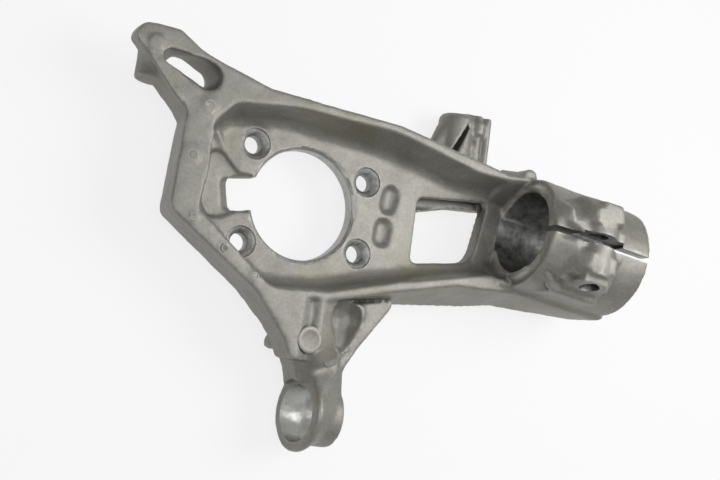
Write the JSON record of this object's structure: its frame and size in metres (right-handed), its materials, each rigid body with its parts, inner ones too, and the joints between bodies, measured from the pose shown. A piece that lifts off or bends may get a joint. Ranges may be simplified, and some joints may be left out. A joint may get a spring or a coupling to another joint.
{
  "type": "steering knuckle",
  "caption": "Cast aluminium front steering knuckle: open ribbed dish round a hub bore, split strut clamp with pinch ears, ball joint eye, arm and caliper lug.",
  "frame": {"origin": "centre of the hub bore on the outboard bearing face", "axes": "+Z along the hub axis, inboard; +X from the hub towards the strut clamp; +Y towards the side of the caliper lug"},
  "size_m": [0.36, 0.237, 0.1052],
  "materials": {
    "cast_aluminium": "as-cast, machined at the bores, bolt seats and bearing face"
  },
  "bodies": {
    "root": {"steering_knuckle": "cast_aluminium"}
  },
  "joints": []
}
